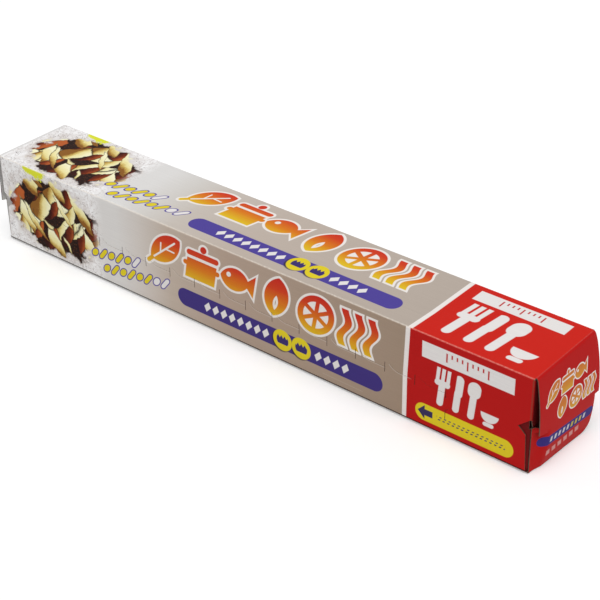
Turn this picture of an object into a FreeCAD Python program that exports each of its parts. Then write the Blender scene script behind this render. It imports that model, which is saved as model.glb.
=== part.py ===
import FreeCAD, Part
import math
import operator
import os

import Sketcher

# Household foil roll in its sealed printed board carton, modelled as one closed solid.
# +X runs along the roll to the end where the carton is torn open, the front looks to -Y,
# +Z is up, and the origin is at the middle of the base.
doc = FreeCAD.newDocument("foil_roll_carton")
sheet = doc.addObject("Spreadsheet::Sheet", "sizes")

# Driving sizes in millimetres. A drop is measured down from the top of the carton.
DRIVING = {
    # Box that the four long panels make, for a roll of 300 mm foil
    "panel_length": 310.0,
    "carton_depth": 45.0,
    "carton_height": 46.5,
    # Coated board, its long folds, and how far above the lower fold the glued front
    # panel has its raw edge
    "board": 0.45,
    "fold_radius": 0.9,
    "lap_gap": 0.2,
    # End flaps: hung from the top fold, sprung outward down to a crest, then in again
    "flap_side_gap": 1.0,
    "flap_fold_radius": 1.2,
    "crest_drop": 28.0,
    "front_bow": 3.7,
    "back_bow": 4.8,
    "front_toe": 1.0,
    "back_toe": 2.9,
    # Lower part of an end flap: pulled in at the front, narrower and rounded at the back
    "pulled_in_bow": 1.4,
    "pulled_in_reach": 6.5,
    "back_step": 2.6,
    "back_step_drop": 29.5,
    "back_corner_radius": 4.5,
    # Open slit behind the front edge of an end flap
    "slit_reach": 6.0,
    "slit_head_drop": 2.0,
    # Front panel's lower corners, cut back from the ends where the tear line runs out
    "corner_rise_drop": 20.0,
    "corner_tip_drop": 24.6,
    "corner_tip_inset": 5.8,
    "corner_neck_drop": 27.8,
    "corner_neck_inset": 2.2,
    "corner_foot_inset": 1.3,
    # Tear line across the front: upright ticks, each with a hooked cut to the next one
    "tear_drop": 24.6,
    "tear_start": 21.5,
    "tear_end_margin": 40.5,
    "tear_pitch": 15.5,
    "cut_width": 0.3,
    "tick_length": 5.0,
    "hook_radius": 7.6,
    "hook_start": 2.2,
    "hook_run": 8.0,
    # Longer cut at the end of the tear line, which frees the thumb tab
    "tab_cut_length": 6.5,
}
for row, (name, value) in enumerate(DRIVING.items(), start=1):
    sheet.set(f"A{row}", name)
    sheet.set(f"B{row}", str(value))
    sheet.setAlias(f"B{row}", name)
doc.recompute()


class Size:
    """A length as its number now and as the sheet formula that keeps it up to date."""

    def __init__(self, number, formula):
        self.number = number
        self.formula = formula

    def __add__(self, other):
        return joined(self, "+", other)

    def __sub__(self, other):
        return joined(self, "-", other)

    def __mul__(self, other):
        return joined(self, "*", other)

    def __truediv__(self, other):
        return joined(self, "/", other)

    def __neg__(self):
        return joined(-1, "*", self)


SIGNS = {"+": operator.add, "-": operator.sub, "*": operator.mul, "/": operator.truediv}


def joined(left, sign, right):
    """Two sizes, or a size and a plain number, joined by one sign of arithmetic."""
    first, second = (s if isinstance(s, Size) else Size(s, str(s)) for s in (left, right))
    number = SIGNS[sign](first.number, second.number)
    return Size(number, f"({first.formula} {sign} {second.formula})")


size = {name: Size(value, f"sizes.{name}") for name, value in DRIVING.items()}

# Planes that the outlines are measured from
end_plane = size["panel_length"] / 2
back_face = size["carton_depth"] / 2
front_face = -back_face
top_face = size["carton_height"]
base_face = top_face * 0
crest_height = top_face - size["crest_drop"]
flap_front = front_face + size["flap_side_gap"]
flap_back = back_face - size["flap_side_gap"]


def sketch_on(body, name, role, offset=None):
    """An empty sketch on one of the body's own planes, moved along that plane's normal."""
    sketch = body.newObject("Sketcher::SketchObject", name)
    plane = next(item for item in body.Origin.OriginFeatures if item.Role == role)
    sketch.AttachmentSupport = [(plane, "")]
    sketch.MapMode = "FlatFace"
    if offset is not None:
        sketch.setExpression("AttachmentOffset.Base.z", offset.formula)
    return sketch


def held(sketch, kind, *places, at):
    """Adds a measured constraint to a sketch and ties it to the sheet."""
    index = sketch.addConstraint(Sketcher.Constraint(kind, *places, at.number))
    sketch.setExpression(f"Constraints[{index}]", at.formula)


def pinned(sketch, curve, end, point):
    """Fixes one point of a sketch by its distances along and up from the sketch's origin."""
    held(sketch, "DistanceX", -1, 1, curve, end, at=point[0])
    held(sketch, "DistanceY", -1, 1, curve, end, at=point[1])


def tied(sketch, kind, *places):
    """Adds a constraint that has no measure, such as Coincident or Horizontal."""
    sketch.addConstraint(Sketcher.Constraint(kind, *places))


def line(sketch, start, end):
    """A straight side between two points given as pairs of sizes."""
    ends = [FreeCAD.Vector(x.number, y.number, 0) for x, y in (start, end)]
    return sketch.addGeometry(Part.LineSegment(*ends), False)


def arc(sketch, centre, start, end):
    """An arc about a centre, anticlockwise from one point to another."""
    spokes = [(x.number - centre[0].number, y.number - centre[1].number) for x, y in (start, end)]
    radius = math.hypot(*spokes[0])
    middle = FreeCAD.Vector(centre[0].number, centre[1].number, 0)
    circle = Part.Circle(middle, FreeCAD.Vector(0, 0, 1), radius)
    angles = [math.atan2(y, x) for x, y in spokes]
    return sketch.addGeometry(Part.ArcOfCircle(circle, *angles), False)


def chained(sketch, curves):
    """Joins each curve's end to the next curve's start, round to the first again."""
    for here, after in zip(curves, curves[1:] + curves[:1]):
        tied(sketch, "Coincident", here, 2, after, 1)


def polygon(sketch, corners):
    """Closed outline of straight sides, with every corner fixed."""
    sides = [line(sketch, *pair) for pair in zip(corners, corners[1:] + corners[:1])]
    chained(sketch, sides)
    for side, corner in zip(sides, corners):
        pinned(sketch, side, 1, corner)


def pocket(body, name, sketch, depth, onward=False):
    """Cuts an outline to a depth, against its plane's normal or onward along it."""
    cut = body.newObject("PartDesign::Pocket", name)
    cut.Profile = sketch
    cut.Reversed = onward
    cut.setExpression("Length", depth.formula)
    return cut


carton = doc.addObject("PartDesign::Body", "carton")
carton.Label = "carton"


def wrap():
    """The folded blank: four long panels, the front one lapped over a panel behind it."""
    inner_front = front_face + size["board"]
    lap_edge = size["fold_radius"] + size["lap_gap"]
    outline = sketch_on(carton, "wrap_outline", "YZ_Plane")
    polygon(outline, [
        (inner_front, base_face),
        (back_face, base_face),
        (back_face, top_face),
        (front_face, top_face),
        (front_face, lap_edge),
        (inner_front, lap_edge),
    ])
    block = carton.newObject("PartDesign::Pad", "wrap")
    block.Profile = outline
    block.SideType = "Symmetric"
    block.setExpression("Length", size["panel_length"].formula)
    doc.recompute()

    # The folds to round, which leave out the two long edges of the lapped panel's raw edge
    corners = [(inner_front, base_face), (back_face, base_face)]
    corners += [(back_face, top_face), (front_face, top_face)]
    places = [FreeCAD.Vector(0, y.number, z.number) for y, z in corners]
    folds = carton.newObject("PartDesign::Fillet", "long_folds")
    folds.Base = (block, [
        f"Edge{index}"
        for index, edge in enumerate(block.Shape.Edges, start=1)
        if any(edge.CenterOfMass.isEqual(place, 0.001) for place in places)
    ])
    folds.setExpression("Radius", size["fold_radius"].formula)
    doc.recompute()


def bow_radius(bow):
    """Radius of the arc that leaves a flap's fold smoothly and is upright at the crest."""
    fold = size["flap_fold_radius"]
    fall = size["crest_drop"] - fold
    return (bow * bow + fall * fall - fold * fold) / ((bow - fold) * 2)


def flap_side(name, offset, bow, toe):
    """Section of an end flap: out from the top fold to the crest, then in to its toe."""
    section = sketch_on(carton, name, "XZ_Plane", offset)
    root = end_plane - size["board"]
    crest_out = end_plane + bow
    fold_top = (end_plane, top_face)
    fold_centre = (end_plane, top_face - size["flap_fold_radius"])
    crest = (crest_out, crest_height)
    foot = (end_plane + toe, base_face)
    sag = bow - toe
    upper_radius = bow_radius(bow)
    lower_radius = (sag * sag + crest_height * crest_height) / (sag * 2)
    upper_centre = (crest_out - upper_radius, crest_height)
    share = size["flap_fold_radius"] / (upper_radius - size["flap_fold_radius"])
    leave = tuple(near + (near - far) * share for near, far in zip(fold_centre, upper_centre))

    back = line(section, (root, base_face), (root, top_face))
    head = line(section, (root, top_face), fold_top)
    fold = arc(section, fold_centre, leave, fold_top)
    upper = arc(section, upper_centre, crest, leave)
    lower = arc(section, (crest_out - lower_radius, crest_height), foot, crest)
    sole = line(section, foot, (root, base_face))
    tied(section, "Coincident", back, 2, head, 1)
    tied(section, "Coincident", head, 2, fold, 2)
    tied(section, "Tangent", fold, 1, upper, 2)
    tied(section, "Coincident", upper, 1, lower, 2)
    tied(section, "Coincident", lower, 1, sole, 1)
    tied(section, "Coincident", sole, 2, back, 1)
    pinned(section, back, 1, (root, base_face))
    pinned(section, back, 2, (root, top_face))
    pinned(section, fold, 2, fold_top)
    pinned(section, fold, 3, fold_centre)
    pinned(section, upper, 1, crest)
    pinned(section, lower, 1, foot)
    tied(section, "Horizontal", upper, 3, upper, 1)
    tied(section, "Horizontal", lower, 3, lower, 2)
    return section


def end_flap():
    """The printed flap that closes an end, bowed more at its back edge than at its front."""
    front = flap_side("flap_front_side", -flap_front, size["front_bow"], size["front_toe"])
    back = flap_side("flap_back_side", -flap_back, size["back_bow"], size["back_toe"])
    flap = carton.newObject("PartDesign::AdditiveLoft", "end_flap")
    flap.Profile = front
    flap.Sections = [back]
    doc.recompute()
    return flap


def pulled_in_corner():
    """Below the crest the flap's front corner is drawn in towards the front panel."""
    plan = sketch_on(carton, "pulled_in_plan", "XY_Plane")
    drawn_in = end_plane + size["pulled_in_bow"]
    polygon(plan, [
        (drawn_in, front_face),
        (end_plane + size["back_bow"] * 2, front_face),
        (end_plane + size["back_bow"], flap_front + size["pulled_in_reach"]),
        (drawn_in, flap_front),
    ])
    return pocket(carton, "pulled_in_corner", plan, crest_height, onward=True)


def back_step():
    """Below its step the flap is narrower at the back, down to a rounded corner."""
    outline = sketch_on(carton, "back_step_outline", "YZ_Plane", end_plane)
    edge = flap_back - size["back_step"]
    step = top_face - size["back_step_drop"]
    radius = size["back_corner_radius"]
    centre = (edge - radius, radius)
    sides = [
        line(outline, (edge, step), (back_face, step)),
        line(outline, (back_face, step), (back_face, base_face)),
        line(outline, (back_face, base_face), (edge - radius, base_face)),
        arc(outline, centre, (edge - radius, base_face), (edge, radius)),
        line(outline, (edge, radius), (edge, step)),
    ]
    chained(outline, sides)
    pinned(outline, sides[0], 1, (edge, step))
    pinned(outline, sides[1], 1, (back_face, step))
    pinned(outline, sides[2], 1, (back_face, base_face))
    pinned(outline, sides[3], 3, centre)
    tied(outline, "Vertical", sides[3], 1, sides[3], 3)
    tied(outline, "Horizontal", sides[3], 2, sides[3], 3)
    tied(outline, "Horizontal", sides[2])
    return pocket(carton, "back_step", outline, size["back_bow"] * 2, onward=True)


def flap_slit():
    """The open slit between the end of the box and the flap's sprung front edge."""
    outline = sketch_on(carton, "flap_slit_outline", "XZ_Plane", back_face)
    crest_out = end_plane + size["front_bow"]
    radius = bow_radius(size["front_bow"])
    head_height = top_face - size["slit_head_drop"]
    corner = (end_plane, crest_height)
    inside = (crest_out - size["board"], crest_height)
    head = (end_plane, head_height)
    skin_head = (end_plane + size["board"], head_height)
    sill = line(outline, corner, inside)
    skin = arc(outline, (crest_out - radius, crest_height), inside, skin_head)
    lid = line(outline, skin_head, head)
    wall = line(outline, head, corner)
    chained(outline, [sill, skin, lid, wall])
    pinned(outline, sill, 1, corner)
    pinned(outline, wall, 1, head)
    held(outline, "DistanceX", -1, 1, sill, 2, at=inside[0])
    tied(outline, "Horizontal", sill)
    tied(outline, "Horizontal", lid)
    tied(outline, "Horizontal", skin, 3, sill, 1)
    held(outline, "Radius", skin, at=radius - size["board"])
    return pocket(carton, "flap_slit", outline, size["flap_side_gap"] + size["slit_reach"])


def cut_back_corner():
    """The front panel's lower corner, cut back past the end of the tear line."""
    outline = sketch_on(carton, "cut_back_outline", "XZ_Plane", back_face)
    neck = end_plane - size["corner_neck_inset"]
    polygon(outline, [
        (end_plane, top_face - size["corner_rise_drop"]),
        (end_plane - size["corner_tip_inset"], top_face - size["corner_tip_drop"]),
        (neck, top_face - size["corner_neck_drop"]),
        (end_plane - size["corner_foot_inset"], base_face),
        (end_plane, base_face),
    ])
    return pocket(carton, "cut_back_corner", outline, size["board"])


def both_ends(features):
    """The same flap, cuts and corner at the other end of the carton."""
    other_end = carton.newObject("PartDesign::Mirrored", "other_end")
    middle = next(item for item in carton.Origin.OriginFeatures if item.Role == "YZ_Plane")
    other_end.Originals = features
    other_end.MirrorPlane = (middle, [""])
    carton.Tip = other_end
    doc.recompute()


def tear_line():
    """Cuts through the outer front panel: a tick and a hooked cut, repeated to the tab."""
    across = size["cut_width"]
    start = size["tear_start"] - end_plane
    height = top_face - size["tear_drop"]
    half_tick = size["tick_length"] / 2

    tick_outline = sketch_on(carton, "tick_outline", "XZ_Plane", back_face)
    polygon(tick_outline, [
        (start - across / 2, height - half_tick),
        (start + across / 2, height - half_tick),
        (start + across / 2, height + half_tick),
        (start - across / 2, height + half_tick),
    ])
    tick = pocket(carton, "tick", tick_outline, size["board"])

    outline = sketch_on(carton, "hook_outline", "XZ_Plane", back_face)
    turn = start + size["hook_run"]
    tip = start + size["hook_start"]
    finish = start + size["tear_pitch"]
    centre = (turn, height + size["hook_radius"])
    under, over = height - across / 2, height + across / 2

    def tip_of(radius):
        rise = math.sqrt(radius.number ** 2 - (turn - tip).number ** 2)
        return (tip, centre[1] - rise)

    outer_radius = size["hook_radius"] + across / 2
    inner_radius = size["hook_radius"] - across / 2
    outer = arc(outline, centre, tip_of(outer_radius), (turn, under))
    lower = line(outline, (turn, under), (finish, under))
    shut = line(outline, (finish, under), (finish, over))
    upper = line(outline, (finish, over), (turn, over))
    inner = arc(outline, centre, tip_of(inner_radius), (turn, over))
    cap = line(outline, tip_of(inner_radius), tip_of(outer_radius))
    tied(outline, "Coincident", outer, 2, lower, 1)
    tied(outline, "Coincident", lower, 2, shut, 1)
    tied(outline, "Coincident", shut, 2, upper, 1)
    tied(outline, "Coincident", upper, 2, inner, 2)
    tied(outline, "Coincident", inner, 1, cap, 1)
    tied(outline, "Coincident", cap, 2, outer, 1)
    pinned(outline, outer, 3, centre)
    tied(outline, "Coincident", inner, 3, outer, 3)
    held(outline, "Radius", outer, at=outer_radius)
    held(outline, "Radius", inner, at=inner_radius)
    tied(outline, "Vertical", outer, 2, outer, 3)
    tied(outline, "Vertical", inner, 2, inner, 3)
    tied(outline, "Horizontal", lower)
    tied(outline, "Horizontal", upper)
    tied(outline, "Vertical", shut)
    tied(outline, "Vertical", cap)
    held(outline, "DistanceX", -1, 1, shut, 1, at=finish)
    held(outline, "DistanceX", -1, 1, cap, 1, at=tip)
    hook = pocket(carton, "hook", outline, size["board"])
    doc.recompute()

    row_length = size["panel_length"] - size["tear_start"] - size["tear_end_margin"]
    count = f"round({row_length.formula} / sizes.tear_pitch)"
    row = carton.newObject("PartDesign::LinearPattern", "tear_row")
    along = next(item for item in carton.Origin.OriginFeatures if item.Role == "X_Axis")
    row.Originals = [tick, hook]
    row.Direction = (along, [""])
    row.Mode = "Spacing"
    row.setExpression("Offset", "sizes.tear_pitch")
    row.setExpression("Occurrences", count)
    carton.Tip = row
    doc.recompute()

    last_tick = start + joined(size["tear_pitch"], "*", Size(row.Occurrences, count))
    tab_outline = sketch_on(carton, "tab_cut_outline", "XZ_Plane", back_face)
    foot = height - size["tab_cut_length"]
    head = height + half_tick
    polygon(tab_outline, [
        (last_tick - across / 2, foot),
        (last_tick + across / 2, foot),
        (last_tick + across / 2, head),
        (last_tick - across / 2, head),
    ])
    pocket(carton, "tab_cut", tab_outline, size["board"])
    doc.recompute()


wrap()
flap = end_flap()
both_ends([flap, pulled_in_corner(), back_step(), flap_slit(), cut_back_corner()])
tear_line()

# Nothing is written unless every feature worked and every cut took material away
for item in doc.Objects:
    if "Invalid" in item.State or "Error" in item.State:
        raise RuntimeError(f"{item.Name} failed: {item.State}")
for item in carton.Group:
    if item.TypeId == "PartDesign::Pocket" and item.BaseFeature.Shape.Volume - item.Shape.Volume < 0.01:
        raise RuntimeError(f"{item.Name} cuts nothing")
if carton.Shape.isNull() or not carton.Shape.isValid() or len(carton.Shape.Solids) != 1:
    raise RuntimeError("the carton is not one valid solid")

os.makedirs("parts", exist_ok=True)
carton.Shape.exportStep(f"parts/{carton.Label}.step")
box = carton.Shape.BoundBox
print(f"carton: {box.XLength:.2f} x {box.YLength:.2f} x {box.ZLength:.2f} mm")
print(f"x {box.XMin:.2f} to {box.XMax:.2f}, base at {box.ZMin:.3f}")
print(f"volume {carton.Shape.Volume / 1000:.1f} cm3, {len(carton.Shape.Faces)} faces")
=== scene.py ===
import math

import bmesh
import bpy
import numpy as np
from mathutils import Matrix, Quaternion, Vector


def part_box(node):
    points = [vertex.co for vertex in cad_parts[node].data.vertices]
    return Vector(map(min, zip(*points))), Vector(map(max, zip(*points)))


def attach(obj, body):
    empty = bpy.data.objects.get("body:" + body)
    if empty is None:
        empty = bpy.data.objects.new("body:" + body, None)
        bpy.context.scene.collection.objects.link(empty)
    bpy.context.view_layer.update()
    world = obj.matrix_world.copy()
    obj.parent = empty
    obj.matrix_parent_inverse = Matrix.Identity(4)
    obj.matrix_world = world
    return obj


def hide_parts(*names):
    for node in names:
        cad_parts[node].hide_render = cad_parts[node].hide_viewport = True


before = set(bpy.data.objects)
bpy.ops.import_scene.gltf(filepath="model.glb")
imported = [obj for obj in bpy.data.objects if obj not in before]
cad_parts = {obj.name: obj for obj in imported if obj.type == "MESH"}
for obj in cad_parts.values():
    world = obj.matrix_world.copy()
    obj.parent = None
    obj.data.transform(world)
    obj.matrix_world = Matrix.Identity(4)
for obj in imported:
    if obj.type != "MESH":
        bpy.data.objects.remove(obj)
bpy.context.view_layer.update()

# Carton: one die-cut sheet of coated grey board, printed outside, creased and glued into a
# long square tube. The front panel laps over a glue panel that stands up behind it, and the
# flaps that close the ends are part of the same sheet. Sizes are in millimetres.
MM = 0.001
BOARD = 0.45
LONG_FOLD = 0.9
BACK_BOW = 4.8
# Points within WELD are joined; grid lines within CLOSE of a place count as lying on it
WELD = 0.004
CLOSE = 1e-3
low, high = (np.array(corner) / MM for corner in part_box("carton"))
LENGTH = high[0] - low[0] - 2 * BACK_BOW
DEPTH = high[1] - low[1]
HEIGHT = high[2] - low[2]
END = LENGTH / 2
LAP_EDGE = 1.5
GLUE_PANEL_RISE = 34.5
GLUE_PANEL_GAP = 0.5


def folded(along, corners, radius):
    """Points at the distances `along` a path of straight runs with rounded corners.
    Within one radius of a corner the point is on a quarter circle:
    centre - outgoing * radius * cos(a) + incoming * radius * sin(a)."""
    corners = np.array(corners, float)
    steps = np.diff(corners, axis=0)
    runs = np.hypot(*steps.T)
    stations = np.concatenate([[0], np.cumsum(runs)])
    points = np.stack([np.interp(along, stations, corners[:, k]) for k in (0, 1)], axis=-1)
    ways = steps / runs[:, None]
    for corner, station, into, out in zip(corners[1:-1], stations[1:-1], ways[:-1], ways[1:]):
        centre = corner - into * radius + out * radius
        angle = np.clip((along - station + radius) / (2 * radius), 0, 1)[:, None] * math.pi / 2
        bend = centre - out * radius * np.cos(angle) + into * radius * np.sin(angle)
        near = np.abs(along - station) < radius
        points[near] = bend[near]
    return points


def patch(points, prints, keep=None, lines=None):
    """A grid of points (rows, columns, 3) with their places on the print (rows, columns, 2),
    and on the straight grid where a cut bends the sheet, so that the cut's lip can follow it.
    Rows by columns gives the outward side, and keep is false for the cells that are cut out."""
    cells = (points.shape[0] - 1, points.shape[1] - 1)
    keep = np.ones(cells, bool) if keep is None else keep
    lines = prints if lines is None else lines
    return points, prints, keep, lines


def mirrored(piece):
    """The same patch at the other end: x changes sign and the columns run backwards. An end
    piece has one map for both uses, so the fourth part isn't needed."""
    points, prints, keep, _ = piece
    points = points[:, ::-1] * (-1, 1, 1)
    prints = prints[:, ::-1] * (-1, 1) + (LENGTH, 0)
    return patch(points, prints, keep[:, ::-1])


def sheet_mesh(name, patches):
    """One mesh from several patches, each cell a quad between its four grid points, welded
    where points meet, with the maps print and tear in millimetres."""
    points, quads, maps, first = [], [], [], 0
    for place, prints, keep, lines in patches:
        down, along = place.shape[:2]
        index = first + np.arange(down * along).reshape(down, along)
        corners = (index[:-1, :-1], index[1:, :-1], index[1:, 1:], index[:-1, 1:])
        quads.append(np.stack(corners, -1)[keep])
        points.append(place.reshape(-1, 3))
        maps.append(np.concatenate([prints, lines], -1).reshape(-1, 4))
        first += down * along
    points, quads, maps = (np.concatenate(part) for part in (points, quads, maps))
    mesh = bpy.data.meshes.new(name)
    mesh.from_pydata(points * MM, [], quads.tolist())
    for layer, used in (("print", slice(0, 2)), ("tear", slice(2, 4))):
        values = maps[quads.ravel(), used].astype(np.float32).ravel()
        mesh.uv_layers.new(name=layer).uv.foreach_set("vector", values)
    build = bmesh.new()
    build.from_mesh(mesh)
    bmesh.ops.remove_doubles(build, verts=build.verts, dist=WELD * MM)
    bmesh.ops.delete(build, geom=[v for v in build.verts if not v.link_faces], context="VERTS")
    build.to_mesh(mesh)
    build.free()
    mesh.shade_smooth()
    return mesh


# Tear line: an upright tick every pitch, and from beside each tick a cut that hooks down
# onto the line and runs to the next tick. Below the last tick a cut with a short hook at its
# top frees the thumb tab.
TEAR_DROP = 24.6
TEAR_START = 21.5
TEAR_PITCH = 15.5
TEAR_TICKS = 17
CUT = 0.13
SLIT = 0.04
TICK_REACH = 2.5
TAB_CUT_TOP, TAB_CUT_FOOT = 32.8, 37.5
TAB_HOOK_RUN, TAB_HOOK_RISE = 2.0, 1.4
TAB_HOOK_FADE, TAB_HOOK_SPREAD = 7.0, 4.0
HOOK_RADIUS = 7.6
HOOK_START = 2.2
HOOK_RUN = 8.0
HOOK_SPREAD = 8.0
ticks = TEAR_START + TEAR_PITCH * np.arange(TEAR_TICKS)
hooks = ticks[:-1]


def hook_rise(along):
    """Height of the hooked cut above the tear line: a circle that meets the line at
    HOOK_RUN past a tick, down from HOOK_START; before it a straight climb from zero."""
    past = (along - TEAR_START) % TEAR_PITCH
    to_line = np.clip(HOOK_RUN - past, 0, HOOK_RUN - HOOK_START)
    circle = HOOK_RADIUS - np.sqrt(HOOK_RADIUS ** 2 - to_line ** 2)
    climb = np.clip((past - CUT) / (HOOK_START - CUT), 0, 1)
    on_line = (along > TEAR_START) & (along < ticks[-1] - CUT)
    return circle * climb * on_line


# Lines of the grid along the carton, and of each panel round it
hook_steps = np.array([HOOK_START, 2.6, 3.2, 4.0, 5.0, 6.0, 7.0, HOOK_RUN, 11.7])
columns = np.unique(np.concatenate([
    np.linspace(0, TEAR_START - 1, 12),
    ticks - CUT,
    ticks + CUT,
    (hooks[:, None] + hook_steps).ravel(),
    np.linspace(ticks[-1] + TAB_HOOK_RUN, LENGTH, 24),
]).round(6))
SIDE = DEPTH / 2 - 1.0
BACK_STEP = 2.6
top_lines = np.append(np.linspace(-SIDE, SIDE - BACK_STEP, 24), SIDE)
bottom_lines = np.linspace(-14.5, 15.5, 12)
bend = np.linspace(-LONG_FOLD, LONG_FOLD, 9)
SLIT_TOP, DUST_FOOT, NECK_DROP = 1.0, 20.0, 27.8
front_drops = np.array([
    SLIT_TOP, 4, 7, 10, 13, TEAR_DROP - HOOK_SPREAD, DUST_FOOT, TEAR_DROP - TICK_REACH,
    TEAR_DROP - SLIT, TEAR_DROP + SLIT, TEAR_DROP + TICK_REACH, NECK_DROP,
    TEAR_DROP + HOOK_SPREAD, TAB_CUT_TOP, TAB_CUT_TOP + CUT, TAB_CUT_FOOT, 40, HEIGHT - LAP_EDGE,
])
glue_fold = -(HEIGHT + DEPTH - GLUE_PANEL_GAP)
rows = np.unique(np.concatenate([
    glue_fold - np.linspace(LONG_FOLD, GLUE_PANEL_RISE, 9),
    glue_fold + bend,
    -HEIGHT - DEPTH / 2 + bottom_lines,
    -HEIGHT + bend,
    -HEIGHT + np.linspace(LONG_FOLD, HEIGHT - SLIT_TOP, 14),
    bend,
    DEPTH / 2 - top_lines,
    DEPTH + bend,
    DEPTH + front_drops,
]).round(6))
drops = rows - DEPTH

# How far each row of the sheet stops short of the end fold. The front panel's lower
# corners are cut back to a tip at the tear line, so that a thumb finds the tab.
END_FOLD = 0.6
on_front = drops > LONG_FOLD - CLOSE
on_back = (rows < -SLIT_TOP + CLOSE) & (rows > -HEIGHT + LONG_FOLD - CLOSE)
on_glue_panel = rows < glue_fold - LONG_FOLD + CLOSE
corner_cut = np.interp(
    drops,
    [LONG_FOLD, SLIT_TOP, DUST_FOOT, TEAR_DROP, NECK_DROP, HEIGHT - LAP_EDGE],
    [0, END_FOLD, END_FOLD, 5.8, 2.2, 1.3],
)
inset = corner_cut * on_front + END_FOLD * on_back + (GLUE_PANEL_GAP + END_FOLD) * on_glue_panel

section = folded(
    rows + GLUE_PANEL_RISE - glue_fold,
    [
        (-DEPTH / 2 + GLUE_PANEL_GAP, GLUE_PANEL_RISE),
        (-DEPTH / 2 + GLUE_PANEL_GAP, 0),
        (DEPTH / 2, 0),
        (DEPTH / 2, HEIGHT),
        (-DEPTH / 2, HEIGHT),
        (-DEPTH / 2, LAP_EDGE),
    ],
    LONG_FOLD,
)
# The inset moves only the last columns at each end, those outside the tear line
PULL_REACH = 16.0
pull = np.clip(1 - columns / PULL_REACH, 0, 1)
pull = pull - np.clip(1 - (LENGTH - columns) / PULL_REACH, 0, 1)
rise = hook_rise(columns) * np.clip(1 - np.abs(drops - TEAR_DROP) / HOOK_SPREAD, 0, 1)[:, None]
# The tab's hook rises to its tip, and the lines past the tip and beside it fall back
tab_rise = np.interp(columns - ticks[-1], [CUT, TAB_HOOK_RUN, TAB_HOOK_FADE], [0, TAB_HOOK_RISE, 0])
rise = rise + tab_rise * np.clip(1 - np.abs(drops - TAB_CUT_TOP) / TAB_HOOK_SPREAD, 0, 1)[:, None]
rise = rise * on_front[:, None]
along = columns + inset[:, None] * pull
sheet = np.stack([
    along - END,
    np.broadcast_to(section[:, :1], along.shape),
    section[:, 1:] + rise,
], -1)
sheet_print = np.stack([along, rows[:, None] - rise], -1)

# Cells of the grid that the cuts take out
cell_left, cell_right = columns[:-1], columns[1:]
cell_top, cell_foot = drops[:-1, None], drops[1:, None]
near_tick = np.abs((cell_left + CUT - TEAR_START + 1) % TEAR_PITCH - 1) < CLOSE
in_tick = near_tick & (cell_left > TEAR_START - 1) & (cell_right < ticks[-1] + 1)
in_tick = in_tick & (cell_top > TEAR_DROP - TICK_REACH - CLOSE)
in_tick = in_tick & (cell_foot < TEAR_DROP + TICK_REACH + CLOSE)
past_tick = (cell_left - TEAR_START + CLOSE) % TEAR_PITCH
in_cut = (past_tick >= HOOK_START) & (cell_left > TEAR_START) & (cell_right < ticks[-1])
in_cut = in_cut & (np.abs(cell_top - TEAR_DROP + SLIT) < CLOSE)
in_tab = (np.abs(cell_left - ticks[-1] + CUT) < CLOSE) & (cell_top > TAB_CUT_TOP - CLOSE)
in_tab = in_tab & (cell_foot < TAB_CUT_FOOT + CLOSE)
in_tab_hook = np.abs(cell_left - ticks[-1] - CUT) < CLOSE
in_tab_hook = in_tab_hook & (np.abs(cell_top - TAB_CUT_TOP) < CLOSE)
grid_print = np.stack([along, np.broadcast_to(rows[:, None], along.shape)], -1)
tube = patch(sheet, sheet_print, ~(in_tick | in_cut | in_tab | in_tab_hook), grid_print)

# End flap: hangs from the top panel's end fold, bowed outwards over the flaps behind it.
# Its front edge is cut at the crest and the corner below the cut is pushed in. Its back
# edge steps inwards and its lower back corner is rounded.
FLAP_FOLD = 1.2
CREST_DROP = 28.0
FLAP_LENGTH = 46.3
FRONT_BOW, FRONT_TOE, BACK_TOE = 3.7, 1.0, 2.9
PUSHED_REACH = 6.5
PUSHED_BOW = 0.05
CUT_SLOPE, SLOPE_FROM = 1.6, 16.0
LIP_RISE, LIP_TO = 2.1, 38.0
BACK_FLARE, FLARE_FROM, FLARE_DROP = 0.6, 15.0, 4.0
CORNER_ROUND = 4.5


def flap_bow(drop, y):
    """How far the end flap stands out from the end plane, at a drop below the top and a
    place across. Above the crest: fold arc of radius FLAP_FOLD, then a circle through the
    crest that it meets smoothly. Below: a circle from the crest back to the toe."""
    back = (y + SIDE) / (2 * SIDE)
    bow = FRONT_BOW + (BACK_BOW - FRONT_BOW) * back
    toe = FRONT_TOE + (BACK_TOE - FRONT_TOE) * back
    fall = CREST_DROP - FLAP_FOLD
    radius = (bow ** 2 + fall ** 2 - FLAP_FOLD ** 2) / (2 * (bow - FLAP_FOLD))
    meets = FLAP_FOLD * (1 - fall / (radius - FLAP_FOLD))
    arc = np.sqrt(np.maximum(FLAP_FOLD ** 2 - (FLAP_FOLD - drop) ** 2, 0))
    upper = bow - radius + np.sqrt(radius ** 2 - (CREST_DROP - drop) ** 2)
    sag = bow - toe
    lower_radius = (sag ** 2 + (HEIGHT - CREST_DROP) ** 2) / (2 * sag)
    lower = bow - lower_radius + np.sqrt(lower_radius ** 2 - (drop - CREST_DROP) ** 2)
    return np.where(drop < meets, arc, np.where(drop < CREST_DROP, upper, lower))


def flap_patch(drop, y, bow):
    """Points and print places of the flap for a drop, a place across and a bow. Over the
    first FLARE_DROP the back edge spreads by BACK_FLARE, in equal steps from FLARE_FROM out."""
    flare = np.clip(drop / FLARE_DROP, 0, 1) * np.clip((y - FLARE_FROM) / (SIDE - FLARE_FROM), 0, 1)
    y = y + BACK_FLARE * flare
    points = np.stack([END + bow, y, HEIGHT - drop], -1)
    prints = np.stack([LENGTH + drop, DEPTH / 2 - y], -1)
    return points, prints


def pushed(y):
    """How much of the push a place across the flap takes: 1 at its front edge, falling in
    equal steps to 0 at PUSHED_REACH from it."""
    return np.clip(1 - (y + SIDE) / PUSHED_REACH, 0, 1)


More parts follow.
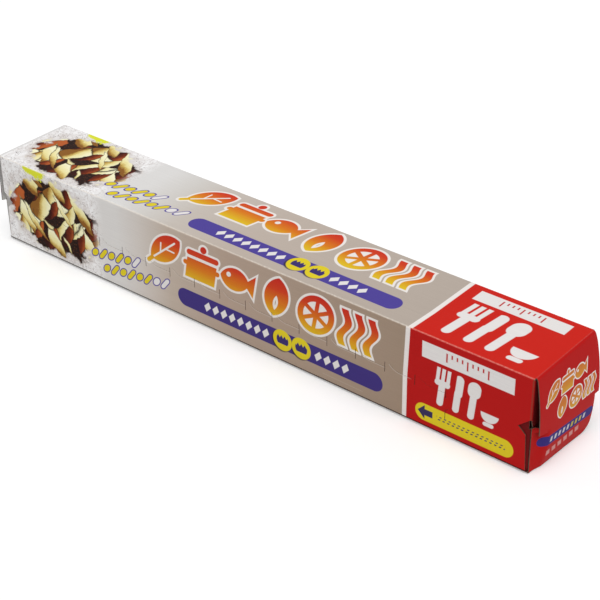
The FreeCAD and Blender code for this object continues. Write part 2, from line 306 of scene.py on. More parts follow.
fold_drops = [0, 0.03, 0.12, 0.28, 0.5, 0.8]
upper_drops = np.concatenate([fold_drops, np.linspace(FLAP_FOLD, CREST_DROP, 17)])
y, drop = np.meshgrid(top_lines, upper_drops)
slope_share = np.clip((drop - SLOPE_FROM) / (CREST_DROP - SLOPE_FROM), 0, 1)
cut_drop = drop - CUT_SLOPE * pushed(y) * slope_share
upper_flap = patch(*flap_patch(cut_drop, y, flap_bow(cut_drop, y)))

# Below the crest: the pushed corner, the step and the rounded corner
corner_turn = np.sin(np.linspace(0.15, 1, 7) * math.pi / 2)
lower_drops = np.concatenate([
    [CREST_DROP, 29.5],
    np.linspace(31.5, FLAP_LENGTH - CORNER_ROUND, 6),
    FLAP_LENGTH - CORNER_ROUND * (1 - corner_turn),
])
y, drop = np.meshgrid(top_lines, lower_drops)
bow = flap_bow(drop, y)
push = np.sin(pushed(y) * math.pi / 2)
bow = bow + (PUSHED_BOW - bow) * push
lip_share = np.clip((LIP_TO - drop) / (LIP_TO - CREST_DROP), 0, 1)
lip_drop = drop - (CUT_SLOPE + LIP_RISE) * push * lip_share
edge = SIDE - BACK_STEP
past_round = np.clip((drop - FLAP_LENGTH + CORNER_ROUND) / CORNER_ROUND, 0, 1)
rounded_edge = edge - CORNER_ROUND * (1 - np.sqrt(1 - past_round ** 2))
MIDDLE = 3.0
squeezed = MIDDLE + (y - MIDDLE) * (rounded_edge - MIDDLE) / (edge - MIDDLE)
rounded_y = np.where((y > MIDDLE) & (y < edge + CLOSE), squeezed, y)
beyond_step = y[:-1, :-1] > edge - CLOSE
lower_flap = patch(*flap_patch(lip_drop, rounded_y, bow), ~beyond_step)

# Bottom end flap: folds up from the bottom panel's end and is glued behind the outer flap,
# so that only its fold shows at the foot of the end.
BEHIND = 2.1 * BOARD
FOOT_FOLD = 1.5
BOTTOM_FLAP_RISE = 24.0
fold_rises = [0, 0.05, 0.2, 0.45, 0.8, 1.1, FOOT_FOLD]
rises = np.concatenate([fold_rises, np.linspace(4, BOTTOM_FLAP_RISE, 9)])[::-1]
y, height = np.meshgrid(bottom_lines, rises)
turn = np.sqrt(1 - (1 - np.clip(height / FOOT_FOLD, 0, 1)) ** 2)
out = np.maximum(flap_bow(HEIGHT - height, y) - BEHIND, 0) * turn
bottom_flap = patch(
    np.stack([END + out, y, height], -1),
    np.stack([LENGTH + height, y - HEIGHT - DEPTH / 2], -1),
)

# Dust flaps: the ends of the front, glue and back panels, folded inwards before the end
# flaps close over them. They show through the slits beside the end flaps.
FRONT_DUST, BACK_DUST = 24.0, 16.0
FRONT_DUST_FOOT = 3.9
fold_turn = np.linspace(0, math.pi / 2, 6)


def dust_flap(drops_down, base_y, plane, length, print_v, side, foot=0.0):
    """Turned through a quarter circle of radius END_FOLD from a long panel's end, then
    straight across the end; side is +1 from the front and -1 from the back panel. Past the
    fold the flap reaches `foot` lower than its fold does."""
    past_fold = np.array([1.0, 4, 10, length])
    run = np.concatenate([END_FOLD * fold_turn, END_FOLD * math.pi / 2 + past_fold])
    in_y = np.concatenate([END_FOLD * (1 - np.cos(fold_turn)), END_FOLD + past_fold])
    in_x = np.concatenate([END_FOLD * (np.sin(fold_turn) - 1), np.zeros(len(past_fold))])
    order = slice(None, None, side)
    x = np.broadcast_to(plane + in_x[order], (len(drops_down), len(run)))
    across = np.broadcast_to(base_y + side * in_y[order], x.shape)
    lowered = foot * np.clip(run[order] - END_FOLD * math.pi / 2, 0, 1)
    z = HEIGHT - drops_down[:, None] - lowered * (drops_down == drops_down.max())[:, None]
    u = np.broadcast_to(plane + END - END_FOLD + run[order], x.shape)
    v = np.broadcast_to(print_v[:, None], x.shape)
    return patch(np.stack([x, across, z], -1), np.stack([u, v], -1))


front_end = rows[(drops > SLIT_TOP - CLOSE) & (drops < DUST_FOOT + CLOSE)]
front_dust = dust_flap(
    front_end - DEPTH, -DEPTH / 2, END, FRONT_DUST, front_end, 1, foot=FRONT_DUST_FOOT
)
GLUE_DUST_RISE, GLUE_DUST_FOOT = 24.0, 0.8
glue_end = rows[(rows < glue_fold - GLUE_DUST_FOOT) & (rows > glue_fold - GLUE_DUST_RISE)]
glue_drop = HEIGHT - glue_fold + glue_end
glue_dust = dust_flap(
    glue_drop, -DEPTH / 2 + GLUE_PANEL_GAP, END - GLUE_PANEL_GAP, FRONT_DUST, glue_end, 1
)
back_end = rows[on_back][::-1]
back_dust = dust_flap(-back_end, DEPTH / 2, END, BACK_DUST, back_end, -1)

# The whole blank: the tube and both ends, welded along the folds
end_pieces = [upper_flap, lower_flap, bottom_flap, front_dust, glue_dust, back_dust]
blank_mesh = sheet_mesh("carton_blank", [tube, *end_pieces, *map(mirrored, end_pieces)])
carton = bpy.data.objects.new("carton_blank", blank_mesh)
bpy.context.scene.collection.objects.link(carton)


class Ink:
    """One socket of a material's nodes. Arithmetic on it adds Math nodes; on distances to
    shapes, | joins two shapes and & keeps their overlap."""

    def __init__(self, socket):
        self.socket = socket

    def node(self, kind, settings, inputs, output=0):
        """A node beside this one: first its settings, then its sockets' values or links."""
        tree = self.socket.id_data
        made = tree.nodes.new(kind)
        for name, value in settings.items():
            if name == "stops":
                for extra in value[2:]:
                    made.color_ramp.elements.new(extra[0])
                for stop, (where, colour) in zip(made.color_ramp.elements, value):
                    stop.position, stop.color = where, colour
            else:
                setattr(made, name, value)
        for key, value in inputs.items():
            if isinstance(value, Ink):
                tree.links.new(value.socket, made.inputs[key])
            else:
                made.inputs[key].default_value = value
        return Ink(made.outputs[output])

    def math(self, operation, *values, clamp=False):
        """The named Math operation on this socket and the values; clamp holds it in 0 to 1."""
        settings = {"operation": operation, "use_clamp": clamp}
        return self.node("ShaderNodeMath", settings, dict(enumerate((self, *values))))

    def vector(self, operation, *values):
        """The named Vector Math operation, with its number output where it gives a number."""
        output = int(operation in ("DOT_PRODUCT", "LENGTH", "DISTANCE"))
        inputs = dict(enumerate((self, *values)))
        return self.node("ShaderNodeVectorMath", {"operation": operation}, inputs, output)

    def __add__(self, other):
        return self.math("ADD", other)

    def __sub__(self, other):
        return self.math("SUBTRACT", other)

    def __rsub__(self, other):
        return self.math("MULTIPLY_ADD", -1.0, other)

    def __mul__(self, other):
        return self.math("MULTIPLY", other)

    def __mod__(self, other):
        return self.math("FLOORED_MODULO", other)

    def __gt__(self, other):
        return self.math("GREATER_THAN", other)

    def __or__(self, other):
        return self.math("MINIMUM", other)

    def __and__(self, other):
        return self.math("MAXIMUM", other)

    def __abs__(self):
        return self.math("ABSOLUTE")

    __radd__ = __add__
    __rmul__ = __mul__


def shade(red, green, blue):
    """A colour given as it looks on screen, 0 to 255, as the linear values nodes take:
    ((c + 0.055) / 1.055) ** 2.4, or c / 12.92 where c is small."""
    levels = np.array([red, green, blue]) / 255
    linear = np.where(levels > 0.04045, ((levels + 0.055) / 1.055) ** 2.4, levels / 12.92)
    return (*linear.tolist(), 1.0)


def new_material(name):
    """A material with its first shader, whose sockets take the finish."""
    material = bpy.data.materials.new(name)
    material.use_nodes = True
    return material, material.node_tree.nodes["Principled BSDF"]


def finish_with(shader, **links):
    """Links each value to the shader's socket of that name, with _ for a space."""
    for name, value in links.items():
        shader.id_data.links.new(value.socket, shader.inputs[name.replace("_", " ")])


def start_point(material, kind="ShaderNodeTexCoord", output="Object", **settings):
    """The start of a chain: one output of a new node, by default the Object coordinates."""
    made = material.node_tree.nodes.new(kind)
    for name, value in settings.items():
        setattr(made, name, value)
    return Ink(made.outputs[output])


def disc(point, centre, radius):
    """Distance to a disc: how far the point is from its centre, less the radius."""
    return point.vector("DISTANCE", (*centre, 0)) - radius


def ring(point, centre, radius, half):
    """Distance to a ring: how far the point is from the disc's edge, less half the width."""
    return abs(disc(point, centre, radius)) - half


def stroke(point, start, end, half):
    """Distance to a round-ended stroke: the length of (p - a) - h (b - a), less half its
    width, where h = (p - a).(b - a) / |b - a|^2 is held between 0 and 1."""
    run = Vector((*end, 0)) - Vector((*start, 0))
    away = point.vector("SUBTRACT", (*start, 0))
    share = away.vector("DOT_PRODUCT", run).math("MULTIPLY", 1 / run.length_squared, clamp=True)
    return share.vector("MULTIPLY_ADD", -run, away).vector("LENGTH") - half


def block(x, y, left, right, top, foot):
    """Distance to an upright rectangle: the larger of |x - middle| - half on each axis."""
    sides = abs(x - (left + right) / 2) - (right - left) / 2
    return sides & (abs(y - (top + foot) / 2) - (foot - top) / 2)


def lens(point, first, second, radius):
    """The overlap of two equal discs, pointed at both ends."""
    return disc(point, first, radius) & disc(point, second, radius)


def inside(distance, soft=0.14):
    """1 inside a shape and 0 outside, turning over twice `soft` millimetres."""
    return distance.math("MULTIPLY_ADD", -0.5 / soft, 0.5, clamp=True)


def ramp(factor, *stops):
    """The colour that runs through the stops, each a place from 0 to 1 and a colour."""
    return factor.node("ShaderNodeValToRGB", {"stops": stops}, {0: factor})


def over(mask, below, above):
    """Lays the colour `above` on `below` where the mask is 1."""
    return mask.node("ShaderNodeMix", {"data_type": "RGBA"}, {0: mask, 6: below, 7: above}, 2)


# Print: four-colour offset on the outside under a clear coat. Places are millimetres on the
# opened sheet: U from the left end fold, V from the back fold over the top to the front.
paper, paper_shader = new_material("coated_print")
at = start_point(paper, "ShaderNodeUVMap", "UV", uv_map="print")
split = at.node("ShaderNodeSeparateXYZ", {}, {0: at})
u, v = split, Ink(split.socket.node.outputs[1])
front = v > DEPTH
end = (u > LENGTH) * (1 - front) * (v > 0)
x = u + front - 1
w = v - front * DEPTH
point = u.node("ShaderNodeCombineXYZ", {}, {0: x, 1: w})
faces = v > 0

# Ground: foil grey that darkens to taupe, a white stripe, and red to the right end
length_share = x.math("MULTIPLY", 1 / LENGTH, clamp=True)
# The top's ground is a lighter copy with painted sheen, the front's a darker copy with painted shade
# deepening towards the right end
top_ground_with_sheen = ramp(
    length_share,
    (0.0, shade(222, 220, 219)), (0.26, shade(222, 220, 218)), (0.313, shade(211, 207, 202)),
    (0.371, shade(199, 190, 181)), (0.484, shade(191, 178, 167)), (1.0, shade(177, 165, 154)),
)
shaded_front_ground = ramp(
    length_share,
    (0.0, shade(224, 222, 220)), (0.26, shade(222, 219, 216)), (0.31, shade(213, 205, 198)),
    (0.371, shade(195, 180, 166)), (0.484, shade(182, 161, 145)), (1.0, shade(150, 129, 108)),
)
front_share = inside(DEPTH - v, 0.4)
ground = over(front_share, top_ground_with_sheen, shaded_front_ground)
STRIPE_START, STRIPE_WIDTH, STRIPE_LEAN = 249.5, 2.2, 1.65
RED_START = 250.5
stripe_edge = STRIPE_START - (v - 30.0).math("MULTIPLY", 1 / 40, clamp=True) * STRIPE_LEAN
ground = over(inside(stripe_edge - x), ground, shade(238, 232, 228))
# The top's red carries painted sheen; the front and end take a darker copy of it, painted shade
RED_WITH_SHEEN = shade(204, 38, 29)
SHADED_RED = shade(186, 27, 26)
red_end = over((front_share + end).math("MINIMUM", 1.0), RED_WITH_SHEEN, SHADED_RED)
ground = over(inside(stripe_edge + STRIPE_WIDTH - x), ground, red_end)

# Baked dish on crumpled foil: slices in cream, rust and dark brown, loosely packed
warp = point.node("ShaderNodeTexNoise", {}, {"Vector": point, "Scale": 0.16, "Detail": 4.0}, 1)
warped = warp.vector("MULTIPLY_ADD", (9.0, 9.0, 0), point)
crumple = warped.node("ShaderNodeTexVoronoi", {}, {"Vector": warped, "Scale": 0.28}, 1)
crumple = crumple.node("ShaderNodeSeparateXYZ", {}, {0: crumple})
specks = point.node(
    "ShaderNodeTexNoise", {}, {"Vector": point, "Scale": 0.9, "Detail": 3.0, "Roughness": 0.7}
)
dish_x = (x - 36.0) * (1 / 30.5)
dish_w = (w - 23.0) * (1 / 19.5)
dish = dish_x.math("POWER", 2.0) + dish_w.math("POWER", 2.0)
dish = dish.math("SQRT") + (warp.node("ShaderNodeSeparateXYZ", {}, {0: warp}) - 0.5) * 0.7 - 1.0
foil_area = (72 - x).math("MULTIPLY", 0.12, clamp=True) * (x > 0) * faces
creases = point.node(
    "ShaderNodeTexNoise", {},
    {"Vector": point, "Scale": 0.2, "Detail": 5.0, "Roughness": 0.62, "Distortion": 1.4},
)
crease = abs(creases - 0.5).math("MULTIPLY", 9.0, clamp=True)
foil = ramp(
    crease * 0.34 + crumple * 0.25 + specks * 1.3 - 0.34,
    (0.0, shade(92, 76, 70)), (0.14, shade(174, 163, 160)), (0.36, shade(224, 219, 217)),
    (0.6, shade(247, 245, 245)), (1.0, shade(255, 255, 255)),
)
flecks = (0.26 - crease - specks * 0.2).math("MULTIPLY", 9.0, clamp=True)
flecks = flecks * (crumple - 0.66).math("MULTIPLY", 8.0, clamp=True)
foil = over(flecks * 0.85, foil, shade(84, 70, 70))
ground = over(foil_area * 0.85, ground, foil)
scorch = (0.22 - dish).math("MULTIPLY", 3.0, clamp=True) * foil_area * specks
ground = over(scorch, ground, shade(150, 120, 96))
bent = warp.vector("MULTIPLY_ADD", (4.5, 4.5, 0), point)


def slice_layer(angle, narrow, size):
    """Slices lying one way: Voronoi cells on places turned back by the angle and then
    multiplied along their length by `narrow`. Gives each cell's kind from 0 to 1, how far up
    its slice a place is (the place less the cell's centre, along a fixed direction), and 1 on
    the line round it."""
    turned = bent.node(
        "ShaderNodeMapping", {"vector_type": "TEXTURE"},
        {"Vector": bent, "Rotation": (0, 0, angle), "Scale": (1, 1 / narrow, 1)},
    )
    cells = {"Vector": turned, "Scale": size}
    cell = turned.node("ShaderNodeTexVoronoi", {}, cells, 1)
    centre = Ink(cell.socket.node.outputs[2])
    rim = turned.node("ShaderNodeTexVoronoi", {"feature": "DISTANCE_TO_EDGE"}, cells)
    kind = cell.node("ShaderNodeSeparateXYZ", {}, {0: cell})
    turn_up = turned.vector("SUBTRACT", centre).vector("DOT_PRODUCT", (0.10, -0.13, 0))
    turn_up = turn_up + 0.35 + specks * 0.3
    return kind, turn_up, (0.05 - rim).math("MULTIPLY", 20.0, clamp=True)


def cream_slice(turn_up):
    """Cream, tan at the low side of each slice."""
    return ramp(
        turn_up,
        (0.04, shade(140, 92, 38)), (0.22, shade(206, 174, 92)),
        (0.44, shade(238, 226, 160)), (0.85, shade(249, 245, 206)),
    )


kind, turn_up, rim_line = slice_layer(0.75, 0.44, 0.15)
rust = ramp(turn_up, (0.15, shade(50, 16, 12)), (0.5, shade(112, 42, 20)), (0.9, shade(184, 94, 46)))
sauce = ramp(specks, (0.3, shade(26, 14, 14)), (0.58, shade(44, 24, 18)), (0.72, shade(132, 78, 44)))
slices = over(kind > 0.42, sauce, rust)
slices = over(kind > 0.66, slices, cream_slice(turn_up))
slices = over(rim_line, slices, shade(30, 18, 16))
kind, turn_up, rim_line = slice_layer(-0.7, 0.34, 0.17)
crossing = over(rim_line, cream_slice(turn_up), shade(60, 36, 22))
slices = over(kind > 0.64, slices, crossing)
ground = over(inside(dish, 0.03) * foil_area, ground, slices)
zest = stroke(point, (20.0, 0.6), (29.0, 1.2), 3.0) + (specks - 0.5) * 5.0 + (crumple - 0.5) * 2.0
ground = over(inside(zest, 0.4) * faces, ground, shade(222, 226, 58))

# Row of six kitchen signs, red running down through orange to yellow, with a white rim.
# The end flap carries them smaller, three to a line, so its places are turned into the
# row's: sign widths are divided by SMALL.
SMALL = 2.25
across = DEPTH - v
down = u - LENGTH
second = down > 16.1
end_x = (across - 6.2) * SMALL + 101.4 + second * 54.0
end_w = (down - 11.1 - second * 10.0) * SMALL + 14.0
sign_x = x + end * (end_x - x)
sign_w = w + end * (end_w - w)
SLANT = 0.2
signs = u.node("ShaderNodeCombineXYZ", {}, {0: sign_x + (sign_w - 14) * SLANT, 1: sign_w})
lean = signs.node("ShaderNodeSeparateXYZ", {}, {0: signs})
rib = stroke(signs, (104.5, 20.8), (117.5, 8.0), 0.5)
veins = stroke(signs, (109.6, 15.8), (109.2, 10.6), 0.4)
veins = veins | stroke(signs, (112.6, 12.9), (117.8, 13.2), 0.4)
leaf = lens(signs, (115.9, 17.1), (108.7, 8.9), 12.3) & (0 - (rib | veins))
leaf = leaf | stroke(signs, (102.9, 22.4), (104.8, 20.4), 1.2)
pot = block(lean, sign_w, 127.6, 142.4, 13.4, 21.0) - 1.6
pot = pot | stroke(signs, (126.8, 8.8), (143.2, 8.8), 1.5)
pot = pot | disc(signs, (135.0, 5.2), 1.9) | stroke(signs, (125.2, 14.9), (144.8, 14.9), 1.3)
fish = lens(signs, (155.0, 10.5), (155.0, 16.5), 9.0) & (1.3 - disc(signs, (151.2, 11.9), 0.0))
fish = fish | ((abs(sign_w - 13.5) - (lean - 160.6)) & (lean - 166.6))
inner_flame = lens(signs, (184.0, 16.4), (174.4, 16.4), 6.2)
flame = lens(signs, (183.6, 13.2), (174.8, 13.2), 11.2) & (0 - inner_flame)
wheel = ring(signs, (201.4, 13.8), 8.4, 1.6) | stroke(signs, (201.4, 6.0), (201.4, 21.6), 1.1)
wheel = wheel | stroke(signs, (194.6, 9.9), (208.2, 17.7), 1.1)
wheel = wheel | stroke(signs, (194.6, 17.7), (208.2, 9.9), 1.1)
sway = (sign_w * 0.42).math("SINE").math("MULTIPLY_ADD", 1.5, lean)
steam = abs((sway - 213.6) % 7.0 - 3.5) - 1.9
steam = steam & block(sway, sign_w, 214.7, 233.5, 4.4, 23.2)
row = leaf | pot | fish | flame | wheel | steam
line_end = (1 - second * 2) * (lean - 168.1)
row = row & (end * (line_end + 201.3) - 200)
rim = (row | disc(signs, (201.4, 13.8), 7.0)) - 1.15
ground = over(inside(rim) * faces, ground, shade(238, 233, 228))
heat = ramp(
    ((1 - front) * (1 - end) * 2.0 + sign_w - 3.5).math("MULTIPLY", 1 / 21, clamp=True),
    (0.0, shade(200, 44, 35)), (0.28, shade(208, 67, 36)), (0.62, shade(218, 125, 34)),
    (1.0, shade(225, 190, 42)),
)
gold = over(end * 0.55, heat, shade(206, 150, 70))
ground = over(inside(row) * faces, ground, gold)

# Bar under the signs: blue with white diamonds and two yellow discs that throw a shadow
BLUE = shade(81, 69, 152)
WHITE = shade(232, 228, 226)
YELLOW = shade(226, 206, 44)
BAR_LINE = 34.7
bar = stroke(point, (123.7, BAR_LINE), (232.8, BAR_LINE), 4.75)
# The front's bar is a darker copy of the blue, painted shade
ground = over(inside(bar) * faces, ground, over(front_share, BLUE, shade(67, 54, 125)))
diamonds = abs((x + (w - BAR_LINE) * 0.3) % 5.0 - 2.5) + abs(w - BAR_LINE) * 0.72 - 2.0
diamonds = diamonds & (block(x, w, 135.5, 174.5, 30, 40) | block(x, w, 200.0, 220.0, 30, 40))
ground = over(inside(diamonds) * faces, ground, WHITE)
coins = disc(point, (182.3, 34.5), 5.4) | disc(point, (193.0, 34.5), 5.4)
coin_shadow = disc(point, (181.7, 35.1), 5.5) | disc(point, (192.4, 35.1), 5.5)
ground = over(inside(coin_shadow, 0.3) * faces * 0.8, ground, shade(52, 44, 40))
ground = over(inside(coins) * faces, ground, YELLOW)
# A saw-edged blade on each yellow disc
saw = (x - 100.0).math("PINGPONG", 0.95) * 1.6 + 32.0 - w
blade = saw & (w - 36.6) & (coins + 2.0)
ground = over(inside(blade) * faces, ground, shade(60, 50, 110))

# Two rising lines of grains and peas, yellow and at the end white, rimmed in blue
lift = (x - 62) * 0.15 + w
second_line = lift > 36.0
run = x + second_line * 1.2 + lift * 0.35
from_line = lift - second_line * 7.5 - 32.2
repeat = u.node("ShaderNodeCombineXYZ", {}, {0: run % 11.2, 1: from_line})
grains = stroke(repeat, (2.0, 1.4), (3.6, -1.4), 1.35) | disc(repeat, (8.4, 0), 2.0)
grains = grains & (abs(run - second_line * 16.8 - 89.6) - second_line * 5.6 - 16.15)
ground = over(inside(grains - 0.6) * faces, ground, BLUE)
before_white = inside(100.8 + second_line * 16.8 - run)
ground = over(inside(grains) * faces, ground, over(before_white, YELLOW, WHITE))

# Red end: a white plate with a ruler scale on it, and under it white signs of a fork, a
# knife, a spoon and a bowl, larger on the top panel than on the front
plate = block(x, w, 257.2, 301.6, 3.7, 11.4)
ground = over(inside(plate) * faces, ground, WHITE)
tick_length = 1.5 + inside(abs(x % 10 - 9.4) - 0.6) * 2.4
ruler = abs(x % 2.5 - 1.9) - 0.36
ruler = ruler & (abs(x - 279.4) - 12.0) & (5.2 - w) & (w - 5.6 - tick_length)
ground = over(inside(ruler) * faces, ground, shade(190, 40, 40))
BIG = 1.38
shrink = front * (1 - 1 / BIG) + 1 / BIG
table_x = (x - 259.3 - front * 4.9) * shrink
table_w = (w - 13.8 + front * 0.6) * shrink
slant_x = table_x + table_w * 0.1
place = u.node("ShaderNodeCombineXYZ", {}, {0: slant_x, 1: table_w})
tines = abs((slant_x - 0.3) % 2.6 - 1.3) - 0.85
tines = tines & block(slant_x, table_w, 0.3, 8.1, 0.0, 7.0)
fork = tines | stroke(place, (1.9, 7.4), (6.5, 7.4), 1.5) | stroke(place, (4.2, 8.0), (4.2, 17.2), 1.6)
knife = stroke(place, (12.0, 2.3), (12.0, 9.0), 2.2) & (10.6 - slant_x)
knife = knife | stroke(place, (12.0, 9.0), (12.0, 17.2), 1.6)
spoon = stroke(place, (19.4, 3.2), (19.4, 5.0), 3.1) | stroke(place, (19.4, 8.0), (19.4, 17.2), 1.6)
bowl = disc(place, (28.0, 12.4), 4.3) & (12.4 - table_w)
bowl = bowl | stroke(place, (26.4, 17.8), (29.6, 17.8), 1.0)
ground = over(inside(fork | knife | spoon | bowl) * faces, ground, WHITE)

# Front only: yellow bar with an arrow towards the tab's pull and a row of small marks
LABEL_LINE = 38.55
FAR = 25.0
only_front = (1 - front) * (2 * FAR) - FAR
label = stroke(point, (258.9, LABEL_LINE), (298.7, LABEL_LINE), 4.25) & only_front
ground = over(inside(label), ground, YELLOW)
head = abs(w - LABEL_LINE) - (x - 255.9)
arrow = (head & block(x, w, 255.7, 259.4, 34.0, 43.0)) | block(x, w, 259.0, 263.4, 37.0, 40.1)
marks = abs((x + w * 0.5) % 2.3 - 1.15) - 0.55
marks = marks & block(x, w, 265.5, 299.0, 37.6, 39.5) & (0.35 - abs(w - 38.5))
ink = (arrow | marks) & only_front
ground = over(inside(ink), ground, shade(58, 50, 92))

# End flap: blue bar with yellow spots, and a broken white line under it
end_point = u.node("ShaderNodeCombineXYZ", {}, {0: across, 1: down})
only_end = (1 - end) * (2 * FAR) - FAR
strip_w = down - across * 0.086 - 32.1
strip = stroke(end_point, (6.2, 32.6), (39.2, 35.5), 2.4) & only_end
ground = over(inside(strip), ground, shade(60, 50, 124))
dots = abs((across + down * 0.2) % 3.1 - 1.55) - 0.75
dots = dots & (abs(strip_w) - 1.2) & (abs(across - 22.85) - 13.95) & only_end
spot_mask = inside(23.5 - across) * inside(across - 32.5)
ground = over(inside(dots) * 0.75, ground, over(spot_mask, WHITE, YELLOW))
dashes = abs((across - down * 0.3) % 4.2 - 2.1) - 1.25
dashes = dashes & block(across, down, 8.6, 32.4, 38.4, 41.2) & only_end
ground = over(inside(dashes, 0.3) * 0.6, ground, shade(226, 190, 184))

# Wear and painted highlight: along the folds the ink is rubbed thin and a highlight is painted in the
# same pale line, and a pale lip stands along the tear line
on_top = faces * (1 - front)
past_fold = abs(u - END) - END
fold_gap = abs(v) | abs(v - DEPTH) | abs(v + HEIGHT) | abs(v - glue_fold)
fold_gap = fold_gap | (abs(past_fold) + 2.48 - on_top * 2)
rub = at.node("ShaderNodeTexNoise", {}, {"Vector": at, "Scale": 0.8, "Detail": 3.0})
rub_and_highlight = (0.6 - fold_gap).math("MULTIPLY", 2.2, clamp=True) * (rub * 1.3 - 0.15)
bare_and_highlight = over(inside(RED_START - x), shade(236, 228, 216), shade(236, 150, 138))
ground = over(rub_and_highlight, ground, bare_and_highlight)
side_fold = inside(abs(past_fold + 0.3) - 0.35, 0.2) * (1 - on_top) * (rub * 0.9)
ground = over(side_fold, ground, shade(96, 74, 58))
# Painted shade: the ink on the tucked-in flaps and the glue panel is darkened, most deeply in the slit
# beside the end flap
past_end = past_fold - END_FOLD
at_right = u > END
slit_shade_mask = inside(0 - past_end, 0.5) * (1 - on_top) + inside(v - glue_fold, 0.5)
slit_shade_ink = over(at_right, shade(146, 142, 139), shade(88, 18, 22))
deep_slit_shade_ink = over(at_right, shade(96, 92, 90), shade(26, 6, 6))
slit_shade_ink = over((past_end - 1.8).math("MULTIPLY", 0.3, clamp=True), slit_shade_ink, deep_slit_shade_ink)
ground = over(slit_shade_mask.math("MINIMUM", 1.0) * (at_right * 0.25 + 0.65), ground, slit_shade_ink)
# The glue panel's strip under the lap is darkened with painted shade, and the front has a scuff near its
# foot
lap_shade_mask = inside(abs(v - glue_fold + 0.9) - 1.3, 0.4)
ground = over(lap_shade_mask * 0.8, ground, over(inside(RED_START - x), shade(58, 45, 36), shade(58, 10, 10)))
scuff = inside(stroke(point, (205.0, 42.3), (227.0, 42.5), 0.05), 0.22) * front
ground = over(scuff * rub, ground, shade(206, 194, 182))
# A shadow is painted on the crease under the cut corner of each end flap
lip_shadow = (31.5 - down).math("MULTIPLY", 0.25, clamp=True) * (down > 26.6 + across * 0.2)
lip_shadow = lip_shadow * (6.6 - across).math("MULTIPLY", 0.4, clamp=True)
lip_shadow = lip_shadow * (across - 1.6).math("MULTIPLY", 0.3, clamp=True)
ground = over(lip_shadow * (u > LENGTH) * 0.85, ground, shade(62, 10, 12))
lips = start_point(paper, "ShaderNodeUVMap", "UV", uv_map="tear")
lips = Ink(lips.node("ShaderNodeSeparateXYZ", {}, {0: lips}).socket.node.outputs[1]) - DEPTH - TEAR_DROP
lip = inside(abs(lips - 0.42) - 0.18, 0.12) * inside(68 - u, 2.0) * inside(u - 251.5, 1.0)
lip = lip * ((u - TEAR_START) % TEAR_PITCH > HOOK_START - 0.1)
ground = over(lip * 0.35, ground, shade(226, 216, 206))

grain = at.node("ShaderNodeTexNoise", {}, {"Vector": at, "Scale": 2.2, "Detail": 4.0, "Roughness": 0.6})
streaks = at.node("ShaderNodeMapping", {}, {"Vector": at, "Scale": (0.03, 1.6, 1)})
streaks = streaks.node("ShaderNodeTexNoise", {}, {"Vector": streaks, "Scale": 1.0, "Detail": 2.0})
mottle = grain * 0.08 + streaks * 0.1 + 0.91
ground = mottle.node("ShaderNodeVectorMath", {"operation": "MULTIPLY"}, {0: ground, 1: mottle})
relief = grain * 0.012 + streaks * 0.03 + lip * 0.12
bump = relief.node("ShaderNodeBump", {}, {"Strength": 0.35, "Distance": MM, "Height": relief})
paper_shader.inputs["Specular IOR Level"].default_value = 0.03
finish_with(paper_shader, Base_Color=ground, Roughness=streaks * 0.12 + rub_and_highlight * 0.2 + 0.4, Normal=bump)

# Board: the bare sides of the same sheet. A pale liner faces inwards, and the grey core of
# pressed fibre shows on every cut edge.
FIBRE_SCALE = 900.0
liners = []
for name, dark, light in (
    ("board_liner", shade(214, 212, 207), shade(234, 232, 228)),
    ("board_edge", shade(66, 52, 42), shade(98, 80, 64)),
):
    board, board_shader = new_material(name)
    spot = start_point(board)
    fibre = spot.node(
        "ShaderNodeTexNoise", {},
        {"Vector": spot, "Scale": FIBRE_SCALE, "Detail": 4.0, "Roughness": 0.65},
    )
    pulp = ramp(fibre, (0.3, dark), (0.7, light))
    bump = fibre.node("ShaderNodeBump", {}, {"Strength": 0.4, "Distance": 0.05 * MM, "Height": fibre})
    finish_with(board_shader, Base_Color=pulp, Normal=bump)
    board_shader.inputs["Roughness"].default_value = 0.85
    liners.append(board)
for finish in (paper, *liners):
    blank_mesh.materials.append(finish)

# The sheet gets its thickness inwards; edges sharper than a fold stay crisp
thickness = carton.modifiers.new("board", "SOLIDIFY")
thickness.thickness = BOARD * MM
thickness.offset = -1
thickness.material_offset = 1
thickness.material_offset_rim = 2
depsgraph = bpy.context.evaluated_depsgraph_get()
carton_mesh = bpy.data.meshes.new_from_object(carton.evaluated_get(depsgraph), depsgraph=depsgraph)
carton_mesh.name = "carton_board"
carton_mesh.set_sharp_from_angle(angle=math.radians(35))
carton.modifiers.clear()
carton.data = carton_mesh
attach(carton, "root")
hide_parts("carton")

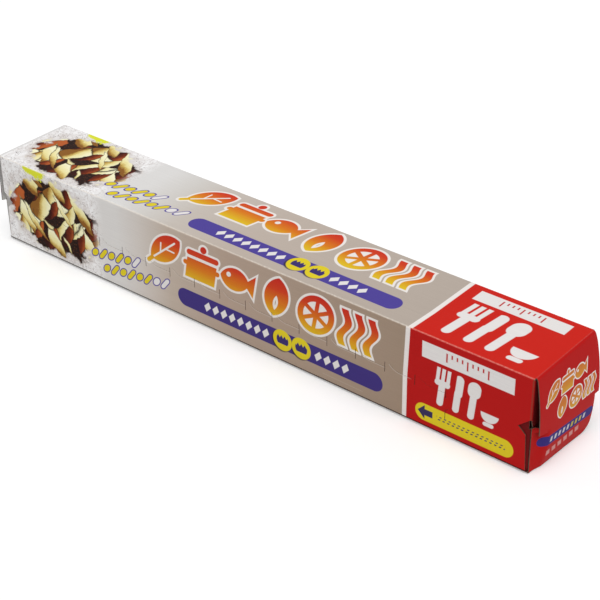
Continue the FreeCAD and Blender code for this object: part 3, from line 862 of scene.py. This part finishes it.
# Table and studio: a white sheet that fades into a white surround, one broad soft lamp
# above and a little behind the camera
floor_size = 6.0
floor_mesh = bpy.data.meshes.new("table_sheet")
half = floor_size / 2
floor_corners = [(-half, -half, 0), (half, -half, 0), (half, half, 0), (-half, half, 0)]
floor_mesh.from_pydata(floor_corners, [], [(0, 1, 2, 3)])
floor = bpy.data.objects.new("table_sheet", floor_mesh)
floor.location.z = -0.0002
bpy.context.scene.collection.objects.link(floor)
white, white_shader = new_material("white_sheet")
white_shader.inputs["Base Color"].default_value = (0.86, 0.86, 0.86, 1)
white_shader.inputs["Roughness"].default_value = 0.9
white_shader.inputs["Emission Strength"].default_value = 1.0
seen = start_point(white, "ShaderNodeLightPath", "Is Camera Ray")
rays = seen.socket.node.outputs
seen = seen + Ink(rays["Is Glossy Ray"]) + Ink(rays["Is Transmission Ray"])
lift_white = over(seen, (0, 0, 0, 1), (0.2, 0.2, 0.2, 1))
finish_with(white_shader, Emission_Color=lift_white)
floor_mesh.materials.append(white)

world = bpy.data.worlds.new("surround")
bpy.context.scene.world = world
world.use_nodes = True
sky = world.node_tree.nodes["Background"]
sky.inputs["Color"].default_value = (1, 1, 1, 1)
rays = world.node_tree.nodes.new("ShaderNodeLightPath").outputs
shown = Ink(rays["Is Camera Ray"]) + Ink(rays["Is Glossy Ray"]) + Ink(rays["Is Transmission Ray"])
sky_level = shown.math("MULTIPLY_ADD", 0.55, 0.45)
world.node_tree.links.new(sky_level.socket, sky.inputs["Strength"])

lamp = bpy.data.lights.new("soft_lamp", "SUN")
lamp.energy = 1.74
lamp.angle = math.radians(50)
soft = bpy.data.objects.new("soft_lamp", lamp)
soft.rotation_euler = Vector((-0.2, 0.22, -1.0)).to_track_quat("-Z", "Y").to_euler()
bpy.context.scene.collection.objects.link(soft)

# Camera: a long lens above the right front, tipped clockwise by a degree
lens_data = bpy.data.cameras.new("camera")
lens_data.lens = 92.45
lens_data.sensor_width = 36.0
lens_data.clip_start = 0.01
camera = bpy.data.objects.new("camera", lens_data)
camera.location = (0.39937, -0.45013, 0.38727)
aim = Vector((0.02336, -0.00537, 0.023)) - camera.location
camera.rotation_mode = "QUATERNION"
camera.rotation_quaternion = aim.to_track_quat("-Z", "Y") @ Quaternion((0, 0, 1), math.radians(-1.06))
bpy.context.scene.collection.objects.link(camera)
bpy.context.scene.camera = camera

bpy.context.scene.view_settings.view_transform = "Standard"
